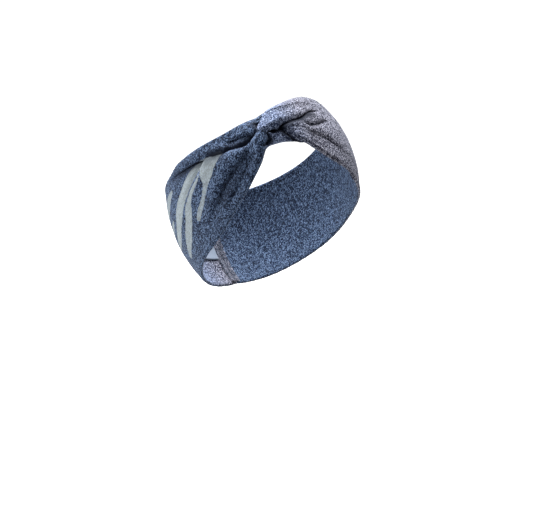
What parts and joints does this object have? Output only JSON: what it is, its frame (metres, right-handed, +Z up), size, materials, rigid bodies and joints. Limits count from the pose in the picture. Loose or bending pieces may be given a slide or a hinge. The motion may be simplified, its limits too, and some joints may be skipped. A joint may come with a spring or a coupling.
{
  "type": "spa headband",
  "caption": "Wide twist-front headband of double heather jersey in its worn shape, with a printed face, a plain reverse and a gathered half turn above the brow.",
  "frame": {"origin": "middle of the head that the band is worn on, level with the ears", "axes": "+Z up; the wearer faces -Y; the wearer's right is -X"},
  "size_m": [0.1596, 0.1876, 0.1718],
  "materials": {
    "printed_jersey": "navy heather cotton-blend jersey with pale grey-green brush-stroke print, matt with a soft pile",
    "plain_jersey": "purple-grey heather cotton-blend jersey, matt with a soft pile",
    "seam_thread": "spun polyester sewing thread, navy",
    "overlock_thread": "textured polyester overlock thread, dark blue",
    "label_satin": "blank slate-blue woven satin ribbon"
  },
  "bodies": {
    "root": {"printed_panel": "printed_jersey", "plain_panel": "plain_jersey", "long_seam_thread_a": "seam_thread", "long_seam_thread_b": "seam_thread", "back_seam_thread": "seam_thread", "back_overlock_thread": "overlock_thread", "knot_tack_thread": "overlock_thread", "care_label": "label_satin"}
  },
  "joints": []
}
